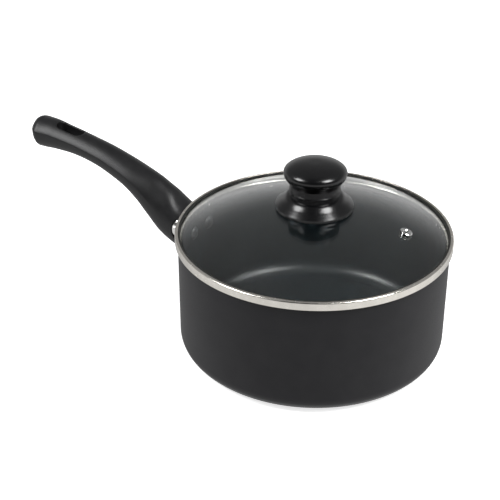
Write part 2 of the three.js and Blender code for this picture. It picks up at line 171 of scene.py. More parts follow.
def rounded(corners, closed=True, steps=FILLET_STEPS):
    """An outline of corners (r, z, fillet radius), each corner rounded by its radius."""
    points = []
    last = len(corners) - 1
    for i, (r, z, fillet) in enumerate(corners):
        if fillet == 0 or (not closed and i in (0, last)):
            points.append((r, z))
            continue
        corner = Vector((r, z))
        before = Vector(corners[i - 1][:2]) - corner
        after = Vector(corners[(i + 1) % len(corners)][:2]) - corner
        half = before.angle(after) / 2
        reach = min(fillet / math.tan(half), 0.49 * before.length, 0.49 * after.length)
        radius = reach * math.tan(half)
        inward = (before.normalized() + after.normalized()).normalized()
        centre = corner + inward * (radius / math.sin(half))
        from_centre = corner + before.normalized() * reach - centre
        to_centre = corner + after.normalized() * reach - centre
        start = math.atan2(from_centre.y, from_centre.x)
        turn = math.atan2(to_centre.y, to_centre.x) - start
        turn = (turn + math.pi) % (2 * math.pi) - math.pi
        points += arc(centre.x, centre.y, radius, math.degrees(start), math.degrees(start + turn), steps)
    return points


def spline(points, steps):
    """A Catmull-Rom curve through the points, with this many steps between neighbours."""
    last = len(points) - 1
    curve = []
    for i in range(last):
        a, b, c, d = (Vector(points[k]) for k in (max(i - 1, 0), i, i + 1, min(i + 2, last)))
        for k in range(steps):
            t = k / steps
            square = 2 * a - 5 * b + 4 * c - d
            cube = 3 * b - a - 3 * c + d
            curve.append((2 * b + (c - a) * t + square * t**2 + cube * t**3) / 2)
    return curve + [Vector(points[last])]


def rounded_rectangle(width, height, corner, count):
    """Points evenly round a rectangle with round corners, starting at the middle of its right side."""
    straight = [width - 2 * corner, height - 2 * corner]
    quarter = math.pi / 2 * corner
    sides = [straight[1] / 2, quarter, straight[0], quarter, straight[1], quarter, straight[0], quarter]
    total = sum(sides) + straight[1] / 2
    right, top = width / 2, height / 2
    starts = [
        ((right, 0), 90), ((right - corner, top - corner), 0), ((right - corner, top), 180),
        ((corner - right, top - corner), 90), ((-right, top - corner), 270),
        ((corner - right, corner - top), 180), ((corner - right, -top), 0),
        ((right - corner, corner - top), 270), ((right, corner - top), 90),
    ]
    points = []
    for i in range(count):
        left = total * i / count
        side = 0
        while side < len(sides) and left > sides[side]:
            left -= sides[side]
            side += 1
        (x, y), degrees = starts[side]
        if side % 2:
            angle = math.radians(degrees) + left / corner
            points.append((x + corner * math.cos(angle), y + corner * math.sin(angle)))
        else:
            angle = math.radians(degrees)
            points.append((x + left * math.cos(angle), y + left * math.sin(angle)))
    return points


# Meshes


def lathe(outline, segments=SEGMENTS, closed=True):
    """Revolves an outline about +Z. A point on the axis becomes one vertex."""
    mesh = bmesh.new()
    turns = [2 * math.pi * k / segments for k in range(segments)]
    rings = []
    for r, z in outline:
        around = turns if r > 0 else [0]
        rings.append([mesh.verts.new(Vector((r * math.cos(a), r * math.sin(a), z)) * MM) for a in around])
    following = rings[1:] + (rings[:1] if closed else [])
    for ring, other in zip(rings, following):
        for k in range(segments):
            after = (k + 1) % segments
            corners = [
                ring[k % len(ring)], ring[after % len(ring)],
                other[after % len(other)], other[k % len(other)],
            ]
            corners = list(dict.fromkeys(corners))
            if len(corners) > 2:
                mesh.faces.new(corners)
    bmesh.ops.recalc_face_normals(mesh, faces=mesh.faces)
    return mesh


def loft(sections, closed=False):
    """Joins loops of points in millimetres. An open row of loops gets a cap at each end."""
    mesh = bmesh.new()
    loops = [[mesh.verts.new(Vector(point) * MM) for point in section] for section in sections]
    following = loops[1:] + (loops[:1] if closed else [])
    for loop, other in zip(loops, following):
        for k in range(len(loop)):
            after = (k + 1) % len(loop)
            mesh.faces.new([loop[k], loop[after], other[after], other[k]])
    if not closed:
        mesh.faces.new(loops[0])
        mesh.faces.new(loops[-1])
    bmesh.ops.recalc_face_normals(mesh, faces=mesh.faces)
    return mesh


def to_object(name, mesh, matrix=None):
    """Makes an object of a bmesh, moved by the matrix if there is one."""
    if matrix is not None:
        mesh.transform(matrix)
    data = bpy.data.meshes.new(name)
    mesh.to_mesh(data)
    mesh.free()
    piece = bpy.data.objects.new(name, data)
    bpy.context.scene.collection.objects.link(piece)
    return piece


def cut(piece, *cutters):
    """Cuts objects out of a piece and removes them."""
    for cutter in cutters:
        change = piece.modifiers.new("cut", "BOOLEAN")
        change.operation = "DIFFERENCE"
        change.solver = "EXACT"
        change.object = cutter
        shape = piece.evaluated_get(bpy.context.evaluated_depsgraph_get())
        data = bpy.data.meshes.new_from_object(shape)
        piece.modifiers.clear()
        piece.data = data
        bpy.data.objects.remove(cutter)
    return piece


def finish_piece(piece, body, nodes, slot, *materials):
    """Shades a piece, gives it its materials, and ties it to its CAD body and nodes. The slot is not used."""
    piece.data.materials.clear()
    for material in materials:
        piece.data.materials.append(material)
    piece.data.shade_smooth()
    piece.data.set_sharp_from_angle(angle=SHARP_ANGLE)
    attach(piece, body)
    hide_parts(*nodes)
    return piece


def outward(angle, height):
    """The place of a piece drawn along +Z that points out from the pan's axis."""
    turn = Matrix.Rotation(angle, 4, "Z") @ Matrix.Rotation(math.pi / 2, 4, "Y")
    return Matrix.Translation((0, 0, height * MM)) @ turn


TO_HANDLE = Matrix.Rotation(math.pi, 4, "Z")


def at_screw():
    """The place of a piece drawn along +Z on the tang, square to it."""
    r = TANG_BEND.x + SCREW_ALONG * math.cos(TANG_SLOPE)
    z = TANG_BEND.y + SCREW_ALONG * math.sin(TANG_SLOPE)
    return TO_HANDLE @ Matrix.Translation((r * MM, 0, z * MM)) @ Matrix.Rotation(-TANG_SLOPE, 4, "Y")


def dome_z(r):
    return GLASS_APEX_Z - GLASS_DOME_R + math.sqrt(GLASS_DOME_R**2 - r**2)


def at_vent():
    """The place of a piece drawn along +Z on the glass at the vent, square to it."""
    tilt = Matrix.Rotation(math.asin(VENT_R / GLASS_DOME_R), 4, "Y")
    move = Matrix.Translation((VENT_R * MM, 0, dome_z(VENT_R) * MM))
    return Matrix.Rotation(VENT_ANGLE, 4, "Z") @ move @ tilt


def cross_recess(name, width, thickness, from_z, to_z, matrix):
    """Two crossed tapered blades that cut a screw's recess. They are widest at from_z."""
    blades = []
    for turn in (0, math.pi / 2):
        sections = []
        for z, share in ((from_z, 1), (to_z, 0.45)):
            x, y = width / 2 * share, thickness / 2
            sections.append([(-x, -y, z), (x, -y, z), (x, y, z), (-x, y, z)])
        blades.append(to_object(name, loft(sections), matrix @ Matrix.Rotation(turn, 4, "Z")))
    return blades


# Materials


class Finish:
    """A Principled material with short ways to add nodes to it."""

    def __init__(self, name, values):
        self.material = bpy.data.materials.new(name)
        self.material.use_nodes = True
        self.tree = self.material.node_tree
        self.surface = self.tree.nodes["Principled BSDF"]
        self.place = self.add("ShaderNodeTexCoord").outputs["Object"]
        for socket, value in values.items():
            self.surface.inputs[socket].default_value = value

    def add(self, kind, inputs=None, **settings):
        made = self.tree.nodes.new(kind)
        for name, value in settings.items():
            setattr(made, name, value)
        for socket, value in (inputs or {}).items():
            if isinstance(value, bpy.types.NodeSocket):
                self.tree.links.new(value, made.inputs[socket])
            else:
                made.inputs[socket].default_value = value
        return made

    def stretched(self, scale):
        """The object's own coordinates, multiplied per axis."""
        return self.add("ShaderNodeMapping", {"Vector": self.place, "Scale": scale}).outputs[0]

    def spun(self):
        """Coordinates that don't change round the axis: distance from it, height, nothing."""
        inputs = {0: self.place, 1: (1, 1, 0)}
        flat = self.add("ShaderNodeVectorMath", inputs, operation="MULTIPLY").outputs[0]
        radius = self.add("ShaderNodeVectorMath", {0: flat}, operation="LENGTH").outputs["Value"]
        height = self.add("ShaderNodeSeparateXYZ", {0: self.place}).outputs["Z"]
        return self.add("ShaderNodeCombineXYZ", {"X": radius, "Y": height}).outputs[0]

    def noise(self, size, detail=3, where=None):
        """Noise with features of about this size in millimetres."""
        inputs = {"Vector": where or self.place, "Scale": 1 / (size * MM), "Detail": detail}
        return self.add("ShaderNodeTexNoise", inputs).outputs[0]

    def colour(self, amount, dark, light, start=0.35, end=0.65):
        """Base colour from dark to light as amount goes from start to end."""
        ramp = self.add("ShaderNodeValToRGB", {"Fac": amount})
        ends = ramp.color_ramp.elements
        ends[0].position, ends[1].position = start, end
        ends[0].color, ends[1].color = (*dark, 1), (*light, 1)
        self.tree.links.new(ramp.outputs[0], self.surface.inputs["Base Color"])
        return self

    def roughness(self, amount, low, high):
        inputs = {"Value": amount, "From Min": 0.3, "From Max": 0.7, "To Min": low, "To Max": high}
        spread = self.add("ShaderNodeMapRange", inputs)
        self.tree.links.new(spread.outputs[0], self.surface.inputs["Roughness"])
        return self

    def bump(self, *layers):
        """Raises the surface by each (amount, height in millimetres) in turn."""
        normal = None
        for amount, height in layers:
            inputs = {"Height": amount, "Distance": height * MM, "Strength": 1}
            if normal is not None:
                inputs["Normal"] = normal
            normal = self.add("ShaderNodeBump", inputs).outputs[0]
        self.tree.links.new(normal, self.surface.inputs["Normal"])
        return self


def outside_coating():
    """Charcoal sprayed coating: a fine orange peel with faint cloudy patches."""
    finish = Finish("coating_outside", {"Metallic": 0, "Specular IOR Level": 0.3})
    grain = finish.noise(0.35, 2)
    finish.colour(finish.noise(14, 4), (0.0085, 0.0082, 0.0104), (0.0115, 0.0112, 0.0134))
    finish.roughness(grain, 0.4, 0.5)
    return finish.bump((grain, 0.008), (finish.noise(1.6, 2), 0.012)).material


def inside_coating():
    """Smoother non-stick coating over a spun surface, with faint rings and a fine fleck."""
    finish = Finish("coating_inside", {"Metallic": 0, "Specular IOR Level": 0.38})
    rings = finish.noise(0.9, 3, finish.spun())
    finish.colour(finish.noise(0.7, 2), (0.0035, 0.0062, 0.0078), (0.0052, 0.0088, 0.0108))
    finish.roughness(finish.noise(9, 3), 0.3, 0.38)
    return finish.bump((rings, 0.01), (finish.noise(0.4, 2), 0.006)).material


def rivet_coating():
    """The inside coating on the small rivet heads, painted several times lighter than the coating round them
    as a painted highlight, so that the heads show as faint light specks.
    """
    finish = Finish("coating_rivet", {"Metallic": 0, "Specular IOR Level": 0.45})
    # Painted highlight: this colour is several times lighter than the inside coating round the heads.
    finish.colour(finish.noise(0.8, 3), (0.021, 0.022, 0.024), (0.034, 0.036, 0.038))
    finish.roughness(finish.noise(0.6, 2), 0.3, 0.42)
    return finish.bump((finish.noise(0.3, 2), 0.01)).material


def handle_phenolic():
    """Satin moulded phenolic with the fine blasted grain of its mould."""
    finish = Finish("phenolic_satin", {"Specular IOR Level": 0.4})
    grain = finish.noise(0.45, 3)
    finish.colour(finish.noise(5, 4), (0.0062, 0.0063, 0.007), (0.0092, 0.0093, 0.01))
    finish.roughness(grain, 0.36, 0.46)
    return finish.bump((grain, 0.035), (finish.noise(7, 2), 0.02)).material


def knob_phenolic():
    """Polished phenolic with a trace of flow marks."""
    finish = Finish("phenolic_polished", {"Specular IOR Level": 0.5})
    finish.colour(finish.noise(4, 4), (0.0025, 0.0026, 0.003), (0.004, 0.0041, 0.0047))
    finish.roughness(finish.noise(1.2, 3), 0.19, 0.24)
    return finish.bump((finish.noise(0.5, 2), 0.001), (finish.noise(6, 2), 0.01)).material


def rolled_steel(name, dark, light, rough, line_height=0.004):
    """Stainless strip with fine lines round the axis from rolling and polishing."""
    finish = Finish(name, {"Metallic": 1})
    lines = finish.noise(0.16, 3, finish.spun())
    finish.colour(finish.noise(6, 3), dark, light)
    finish.roughness(finish.noise(3, 3), rough, rough + 0.08)
    return finish.bump((lines, line_height), (finish.noise(12, 1), 0.02)).material


def guard_steel():
    """Bright pressed steel with fine lines along the handle."""
    finish = Finish("steel_guard", {"Metallic": 1})
    lines = finish.noise(0.2, 3, finish.stretched((0.04, 1, 1)))
    finish.colour(finish.noise(5, 3), (0.74, 0.73, 0.71), (0.82, 0.81, 0.79))
    finish.roughness(lines, 0.16, 0.26)
    return finish.bump((lines, 0.003)).material


def plain_steel(name, tone):
    """Zinc-plated or pressed steel: cloudy, with a fine grain."""
    finish = Finish(name, {"Metallic": 1})
    cloud = finish.noise(1.6, 4)
    finish.colour(cloud, [c * 0.86 for c in tone], tone)
    finish.roughness(cloud, 0.3, 0.46)
    return finish.bump((finish.noise(0.25, 3), 0.006)).material


def brass():
    finish = Finish("brass_turned", {"Metallic": 1})
    finish.colour(finish.noise(1.2, 3), (0.55, 0.4, 0.19), (0.66, 0.5, 0.26))
    finish.roughness(finish.noise(0.5, 2), 0.28, 0.4)
    return finish.bump((finish.noise(0.2, 2, finish.spun()), 0.02)).material


def silicone(name, dark, light):
    """Soft rubbery moulding with a fine matte grain."""
    finish = Finish(name, {"Specular IOR Level": 0.35})
    finish.colour(finish.noise(2, 3), dark, light)
    finish.roughness(finish.noise(0.4, 2), 0.5, 0.66)
    return finish.bump((finish.noise(0.3, 2), 0.01)).material


def clear_glass():
    """Tempered glass with a slow waviness. Lamps shine through it."""
    values = {"Transmission Weight": 1, "IOR": 1.5, "Roughness": 0, "Base Color": (0.975, 0.99, 0.985, 1)}
    finish = Finish("glass_clear", values)
    finish.bump((finish.noise(28, 1), 0.03))
    ray = finish.add("ShaderNodeLightPath").outputs["Is Shadow Ray"]
    clear = finish.add("ShaderNodeBsdfTransparent", {"Color": (0.9, 0.92, 0.91, 1)}).outputs[0]
    mixed = finish.add("ShaderNodeMixShader", {0: ray, 1: finish.surface.outputs[0], 2: clear})
    finish.tree.links.new(mixed.outputs[0], finish.tree.nodes["Material Output"].inputs["Surface"])
    return finish.material


# Pan


def pan_outline():
    grooves = []
    for i in range(BASE_GROOVES):
        r = BASE_GROOVE_FROM_R + BASE_GROOVE_PITCH * i
        mouth = BASE_GROOVE_PITCH / 4
        bottom = mouth * 0.4
        grooves += [
            (r - mouth, 0), (r - bottom, BASE_GROOVE_DEPTH), (r + bottom, BASE_GROOVE_DEPTH), (r + mouth, 0),
        ]
    corner_r = PAN_OUTER_R - PAN_OUTER_CORNER_R
    outer = arc(corner_r, PAN_OUTER_CORNER_R, PAN_OUTER_CORNER_R, -90, 0, 24)
    rim_r = (PAN_OUTER_R - PAN_INNER_R) / 2
    rim = arc(PAN_OUTER_R - rim_r, PAN_HEIGHT - rim_r, rim_r, 0, 180, 12)
    inner_corner_z = PAN_FLOOR + PAN_INNER_CORNER_R
    inner = arc(PAN_INNER_R - PAN_INNER_CORNER_R, inner_corner_z, PAN_INNER_CORNER_R, 0, -90, 24)
    around_rivets = [RIVET_Z - 5.5, RIVET_Z + 5.5]
    outer_wall = [(PAN_OUTER_R, z) for z in around_rivets]
    inner_wall = [(PAN_INNER_R, z) for z in reversed(around_rivets)]
    floor = [(60, PAN_FLOOR), (30, PAN_FLOOR), (0, PAN_FLOOR)]
    return [(0, 0)] + grooves + outer + outer_wall + rim + inner_wall + inner + floor


def is_inside(face):
    """True for a face of the pan's inner surface."""
    centre = face.center / MM
    middle_of_wall = (PAN_INNER_R + PAN_OUTER_R) / 2
    return math.hypot(centre.x, centre.y) < middle_of_wall and centre.z > PAN_FLOOR / 2


def pan_body():
    pan = to_object("pan_body_fine", lathe(pan_outline(), closed=False))
    holes = []
    from_r, to_r = PAN_INNER_R - OVERRUN, PAN_OUTER_R + OVERRUN
    for side in (-1, 1):
        bore = [(0, from_r), (RIVET_SHANK_R, from_r), (RIVET_SHANK_R, to_r), (0, to_r)]
        hole = lathe(bore, SMALL_SEGMENTS, closed=False)
        holes.append(to_object("hole", hole, outward(math.pi + side * RIVET_SIDE_ANGLE, RIVET_Z)))
    cut(pan, *holes)
    finish_piece(pan, "pan", ["pan_body"], "pan_coating", outside_coating(), inside_coating())
    for face in pan.data.polygons:
        face.material_index = int(is_inside(face))


# Handle and what holds it


def rivet(name, side, material):
    head = spline([(0, 87.9), (1.8, 88.05), (3.4, 88.6), (4.35, 89.45)], 5)
    profile = [tuple(point) for point in head] + [
        (4.5, 89.7), (4.5, 89.88), (RIVET_SHANK_R, 89.88), (RIVET_SHANK_R, 94.6), (3.3, 94.6), (3.3, 95.4),
    ]
    profile += [tuple(point) for point in spline([(3.2, 95.6), (2.2, 95.9), (0, 96)], 4)]
    piece = to_object(name + "_fine", lathe(profile, SMALL_SEGMENTS, closed=False),
                      outward(math.pi + side * RIVET_SIDE_ANGLE, RIVET_Z))
    finish_piece(piece, "pan", [name], "rivet_coating", material)


def flame_guard():
    """A pressed steel sleeve that follows the pan's wall at one end and the handle's hollow at the other."""
    width, height = GUARD_SIZE
    steps = 4
    rounds = [math.radians(90 * k / steps) for k in range(steps + 1)]
    rim = [(GUARD_EDGE_R * (1 - math.sin(a)), GUARD_EDGE_R * (1 - math.cos(a))) for a in rounds]
    outside = [(inset, off, 0) for inset, off in rim] + [(inset, off, 1) for inset, off in reversed(rim)]
    inside = [(GUARD_WALL - inset, off, end) for inset, off, end in reversed(outside)]
    sections = []
    for inset, off, end in outside + inside:
        loop = rounded_rectangle(width - 2 * inset, height - 2 * inset, GUARD_CORNER_R - inset, GUARD_POINTS)
        section = []
        for y, up in loop:
            at_pan = math.sqrt(GUARD_FROM_R**2 - y**2) + off
            at_handle = ROOT_HOLLOW[0] + math.sqrt((ROOT_HOLLOW_R - HANDLE_GAP) ** 2 - up**2) - off
            section.append((at_pan + (at_handle - at_pan) * end, y, GUARD_Z + up))
        sections.append(section)
    piece = to_object("flame_guard_fine", loft(sections, closed=True))
    for side in (-1, 1):
        place = Matrix.Translation((0, side * width / 2 * MM, GUARD_GROOVE_Z * MM))
        across = [(-0.4, -0.35), (0.4, -0.5), (0.4, 0.5), (-0.4, 0.35)]
        groove = [[(r, side * y, z) for y, z in across] for r in (80, 120)]
        cut(piece, to_object("groove", loft(groove), place))
    piece.data.transform(TO_HANDLE)
    finish_piece(piece, "pan", ["flame_guard"], "guard_steel", guard_steel())


def handle_section(r, z, rise, drop, width, tilt, arch, inset=0):
    """A section of the handle. The underside is a squarish round. The top is the same round at the
    root (arch 0) and a shallow arch along the grip (arch 1), which leaves a soft crease at each side."""
    top_side_power = UNDERSIDE_POWER + (1 - UNDERSIDE_POWER) * arch
    top_rise_power = UNDERSIDE_POWER + (TOP_RISE_POWER - UNDERSIDE_POWER) * arch
    points = []
    for i in range(HANDLE_POINTS):
        angle = 2 * math.pi * i / HANDLE_POINTS
        c, s = math.cos(angle), math.sin(angle)
        if i <= HANDLE_POINTS // 2:
            side_power, up = top_side_power, abs(s) ** top_rise_power * (rise - inset)
        else:
            side_power, up = UNDERSIDE_POWER, -abs(s) ** UNDERSIDE_POWER * (drop - inset)
        across = math.copysign(abs(c) ** side_power, c) * (width / 2 - inset)
        points.append((r - up * math.sin(tilt), across, z + up * math.cos(tilt)))
    return points


def top_arch(r):
    """How far the handle's top has turned from its round root (0) to its shallow arch (1)."""
    share = min(1, max(0, (r - TOP_ARCH_FROM_R) / (TOP_ARCH_TO_R - TOP_ARCH_FROM_R)))
    return share * share * (3 - 2 * share)


def handle_sections():
    sections = []
    curve = spline(HANDLE_STATIONS, HANDLE_STEPS)
    root_r, root_z, *root_size = curve[0]
    for k in range(FILLET_STEPS):
        a = math.radians(90 * k / FILLET_STEPS)
        along = HANDLE_ROOT_ROUND * (1 - math.cos(a))
        inset = HANDLE_ROOT_ROUND * (1 - math.sin(a))
        sections.append(handle_section(root_r + along, root_z + along / 2, *root_size, 0, 0, inset))
    for i in range(3, len(curve)):
        before, here = curve[i - 1], curve[i]
        after = curve[min(i + 1, len(curve) - 1)]
        slope = math.atan2(after[1] - before[1], after[0] - before[0])
        tilt = slope * min(1, (here[0] - root_r) / HANDLE_TILT_BLEND)
        sections.append(handle_section(*here, tilt, top_arch(here[0])))
    last_r, last_z, *last_size = curve[-1]
    for i in range(1, HANDLE_TIP_STEPS + 1):
        angle = math.pi / 2 * i / (HANDLE_TIP_STEPS + 0.5)
        along = 1 if i == HANDLE_TIP_STEPS else math.sin(angle)
        r = last_r + (HANDLE_TIP[0] - last_r) * along
        z = last_z + (HANDLE_TIP[1] - last_z) * along
        size = [length * math.cos(angle) for length in last_size]
        sections.append(handle_section(r, z, *size, tilt * (1 - along), 1))
    return sections


def slot_cutter(handle):
    """The hanging slot, flared at both mouths so that its edges come out rounded."""
    centre = Matrix.Translation((SLOT_CENTRE[0] * MM, 0, SLOT_CENTRE[1] * MM))
    place = centre @ Matrix.Rotation(-SLOT_TILT, 4, "Y")
    tree = BVHTree.FromObject(handle, bpy.context.evaluated_depsgraph_get())
    up = (place.to_3x3() @ Vector((0, 0, 1))).normalized()

    def surface(x, y, side):
        start = place @ (Vector((x, y, side * LONG_OVERRUN)) * MM)
        hit = tree.ray_cast(start, -side * up)[0]
        return (place.inverted() @ hit).z / MM

    steps = 8
    flare = [math.radians(82 * k / steps) for k in range(steps + 1)]
    rings = [(SLOT_FILLET * (1 - math.cos(a)), SLOT_FILLET * (1 - math.sin(a)), 1) for a in reversed(flare)]
    rings += [(grow, depth, -1) for grow, depth, _ in reversed(rings)]
    sections = []
    for number, (grow, depth, side) in enumerate(rings):
        outline = rounded_rectangle(SLOT_LENGTH + 2 * grow, SLOT_WIDTH + 2 * grow,
                                    SLOT_WIDTH / 2 + grow - 0.001, SLOT_POINTS)
        section = [(x, y, surface(x, y, side) - side * depth) for x, y in outline]
        if number == 0:
            sections.append([(x, y, LONG_OVERRUN) for x, y, _ in section])
        sections.append(section)
        if number == len(rings) - 1:
            sections.append([(x, y, -LONG_OVERRUN) for x, y, _ in section])
    return to_object("slot", loft(sections), place)


def root_cutter():
    """The round hollow across the handle's root, which the flame guard's outer edge follows."""
    half = LONG_OVERRUN
    outline = [(0, -half), (ROOT_HOLLOW_R, -half), (ROOT_HOLLOW_R, half), (0, half)]
    hollow = lathe(outline, 4 * SMALL_SEGMENTS, closed=False)
    centre = Matrix.Translation((ROOT_HOLLOW[0] * MM, 0, ROOT_HOLLOW[1] * MM))
    return to_object("hollow", hollow, centre @ Matrix.Rotation(math.pi / 2, 4, "X"))


def socket_cutter():
    """The cavity that the bracket's tang sits in, drawn as a strip round the tang's middle line."""
    along = Vector((math.cos(TANG_SLOPE), math.sin(TANG_SLOPE)))
    up = Vector((-along.y, along.x))
    mitre = math.tan(TANG_SLOPE / 2)
    end = TANG_END + along * 1.5
    outline = [
        (TANG_START.x, TANG_START.y - SOCKET_BELOW),
        (TANG_BEND.x + SOCKET_BELOW * mitre, TANG_BEND.y - SOCKET_BELOW),
        end - up * SOCKET_BELOW,
        end + up * SOCKET_ABOVE,
        (TANG_BEND.x - SOCKET_ABOVE * mitre, TANG_BEND.y + SOCKET_ABOVE),
        (TANG_START.x, TANG_START.y + SOCKET_ABOVE),
    ]
    half = SOCKET_WIDTH / 2
    return to_object("socket", loft([[(p[0], y, p[1]) for p in outline] for y in (-half, half)]))


def handle():
    piece = to_object("handle_fine", loft(handle_sections()))
    screw_place = TO_HANDLE.inverted() @ at_screw()
    bore = [
        (0, -40), (6.1, -40), (6.1, -13.8), (4.8, -12.6), (4.8, SCREW_SEAT), (2.4, SCREW_SEAT), (2.4, 0),
        (0, 0),
    ]
    counterbore = to_object("bore", lathe(bore, SMALL_SEGMENTS, closed=False), screw_place)
    cut(piece, slot_cutter(piece), root_cutter(), socket_cutter(), counterbore)
    piece.data.transform(TO_HANDLE)
    finish_piece(piece, "pan", ["handle"], "handle_phenolic", handle_phenolic())


def handle_screw(material):
    head = rounded([
        (0, -10.4, 0), (2.9, -10.4, 0.4), (3.7, -9.6, 0.5), (3.7, -7.7, 0.2), (1.95, -7.7, 0), (1.95, 3.6, 0),
        (1.35, 4.2, 0), (0, 4.2, 0),
    ], closed=False)
    screw = to_object("handle_screw_fine", lathe(head, SMALL_SEGMENTS, closed=False), at_screw())
    cut(screw, *cross_recess("recess", 4.2, 0.9, -11, -8.8, at_screw()))
    finish_piece(screw, "pan", ["handle_screw"], "screw_steel", material)


def washer(name, body, slot, inner, outer, low, high, material, matrix=None):
    """A flat ring with slightly rounded edges, from low to high along its axis."""
    edge = (high - low) * 0.3
    profile = rounded([(inner, low, edge), (outer, low, edge), (outer, high, edge), (inner, high, edge)])
    piece = to_object(name + "_fine", lathe(profile, SMALL_SEGMENTS), matrix)
    finish_piece(piece, body, [name], slot, material)


# Lid


def lid_glass():
    edge_z = dome_z(GLASS_EDGE_R)
    step = (GLASS_EDGE_R - 1.2 - GLASS_HOLE_R) / GLASS_RINGS
    radii = [GLASS_HOLE_R + step * i for i in range(GLASS_RINGS + 1)]
    top = [(r, dome_z(r)) for r in radii]
    bottom = [(r, dome_z(r) - GLASS_THICKNESS) for r in reversed(radii)]
    middle = edge_z - GLASS_THICKNESS / 2
    half = GLASS_THICKNESS / 2 - 0.15
    edge = [(GLASS_EDGE_R - 1.2 + 1.2 * math.cos(a), middle + half * math.sin(a))
            for a in (math.radians(65 - 130 * k / 10) for k in range(11))]
    glass = to_object("lid_glass_fine", lathe(top + edge + bottom))
    hole = lathe([(0, -8), (VENT_HOLE_R, -8), (VENT_HOLE_R, 8), (0, 8)], SMALL_SEGMENTS, closed=False)
    cut(glass, to_object("hole", hole, at_vent()))
    finish_piece(glass, "lid", ["lid_glass"], "lid_glass", clear_glass())
    smooth_dome(glass.data)


def smooth_dome(mesh):
    """Gives the two faces of the dome their exact normals, so that reflections in them are even."""
    centre_z = GLASS_APEX_Z - GLASS_DOME_R
    near = 0.02
    normals = []
    for face in mesh.polygons:
        for loop in face.loop_indices:
            point = mesh.vertices[mesh.loops[loop].vertex_index].co / MM
            normal = face.normal
            for centre, sign in ((centre_z, 1), (centre_z - GLASS_THICKNESS, -1)):
                ray = point - Vector((0, 0, centre))
                if abs(ray.length - GLASS_DOME_R) < near and face.normal.dot(ray) * sign > 0.9 * ray.length:
                    normal = ray.normalized() * sign
            normals.append(normal)
    mesh.normals_split_custom_set(normals)


def lid_rim_band(material):
    """One folded strip: a lip over the glass, the outer face, a lower lip and an inner flange."""
    profile = rounded([
        (91.8, 86.5, 0.2), (91.8, 85.9, 0.2), (92.4, 85.9, 0.6), (93.4, 84.9, 0.8), (93.4, 81.6, 0.8),
        (92.6, 80.8, 0.3), (89.6, 80.8, 0.7), (88.6, 79.8, 0.7), (88.6, 75.6, 0.2), (89.2, 75.6, 0.2),
        (89.2, 79.4, 0.7), (90, 80.2, 0.7), (93.1, 80.2, 0.9), (94, 81.1, 0.9), (94, 86.5, 1.9),
    ])
    piece = to_object("lid_rim_band_fine", lathe(profile))
    finish_piece(piece, "lid", ["lid_rim_band"], "band_steel", material)


def lid_rim_seal(material):
    """A soft ring of U section round the edge of the glass."""
    profile = rounded([
        (90.3, 86.2, 0.15), (90.3, 85.44, 0.1), (91.75, 84.78, 0.2), (91.75, 81.05, 0.2), (90.2, 81.45, 0.1),
        (90.2, 80.95, 0.1), (92.4, 80.95, 0.3), (93.2, 81.75, 0.4), (93.2, 84.8, 0.6), (92.2, 85.78, 0.4),
        (91.6, 85.85, 0.1), (91.5, 86.2, 0.15),
    ], steps=3)
    piece = to_object("lid_rim_seal_fine", lathe(profile))
    finish_piece(piece, "lid", ["lid_rim_seal"], "rim_seal", material)


def vent_eyelet(material):
    """A tube rolled over at the top into a rounded collar and flared below the washer."""
    profile = rounded([
        (1.4, -5.3, 0.2), (3.9, -5.3, 0.2), (3.9, -4.7, 0.2), (2.95, -4.7, 0.2), (2.95, 0.2, 0.1),
        (4.1, 0.2, 0.2), (4.1, 0.65, 0.4), (3.4, 1.15, 0.5), (2.4, 1.05, 0.5), (1.4, 0.4, 0.3),
    ])
    piece = to_object("vent_eyelet_fine", lathe(profile, SMALL_SEGMENTS * 2), at_vent())
    finish_piece(piece, "lid", ["vent_eyelet"], "vent_steel", material)


# Knob and what holds it


def knob():
    """A cap on a ridged neck over a spreading skirt, hollow underneath."""
    under = rounded([
        (0, 118.4, 0), (3.7, 118.4, 0), (3.7, 107.25, 0.3), (8.5, 107.25, 0.3), (9.2, 110, 0.8),
        (15, 110.4, 3), (21.5, 107.4, 2), (24.2, 104.65, 0.5), (26.1, 104.4, 0.3), (26.5, 104.85, 0.3),
        (26.25, 106.7, 0.15), (24.6, 108, 0),
    ], closed=False)
    brim = spline([
        (24.6, 108), (23.3, 109.05), (22, 110.1), (20.8, 111.25), (19.7, 112.4), (18.6, 113.2),
        (17.4, 113.55),
    ], 6)
    bead = rounded([
        (17.1, 113.6, 0), (17.1, 117.05, 0.1), (17.3, 117.15, 0.08), (17.3, 117.4, 0.08), (17.05, 117.6, 0.1),
        (17, 117.75, 0),
    ], closed=False)
    ridges = []
    for i in range(KNOB_RIDGES):
        z = KNOB_RIDGE_FROM_Z + KNOB_RIDGE_PITCH * i
        ridges += [(17, z), (17.04, z + 0.15), (17.06, z + 0.28), (17.04, z + 0.41), (17, z + 0.56)]
    cap = spline([
        (17.05, 121.8), (17.5, 122.6), (18.5, 124.1), (19.9, 125.9), (20.8, 127.4), (21.2, 129.2),
        (20.9, 130.9), (19.8, 132.4), (17.6, 133.95), (14.4, 135.35), (10.2, 136.4), (5.3, 137), (0, 137.1),
    ], 8)
    outline = under + [tuple(p) for p in brim[1:]] + bead + ridges + [tuple(p) for p in cap]
    outline[-1] = (0, outline[-1][1])
    finish_piece(to_object("knob_fine", lathe(outline, closed=False)), "lid", ["knob"], "knob_phenolic",
                 knob_phenolic())


def knob_gasket_lower(material):
    profile = rounded([
        (2.3, 101.1, 0.2), (7.5, 101.1, 0.35), (7.5, 102.1, 0.35), (2.9, 102.1, 0.1), (2.9, 105.8, 0.15),
        (2.3, 105.8, 0.15),
    ])
    piece = to_object("knob_gasket_lower_fine", lathe(profile, SMALL_SEGMENTS))
    finish_piece(piece, "lid", ["knob_gasket_lower"], "gasket_silicone", material)


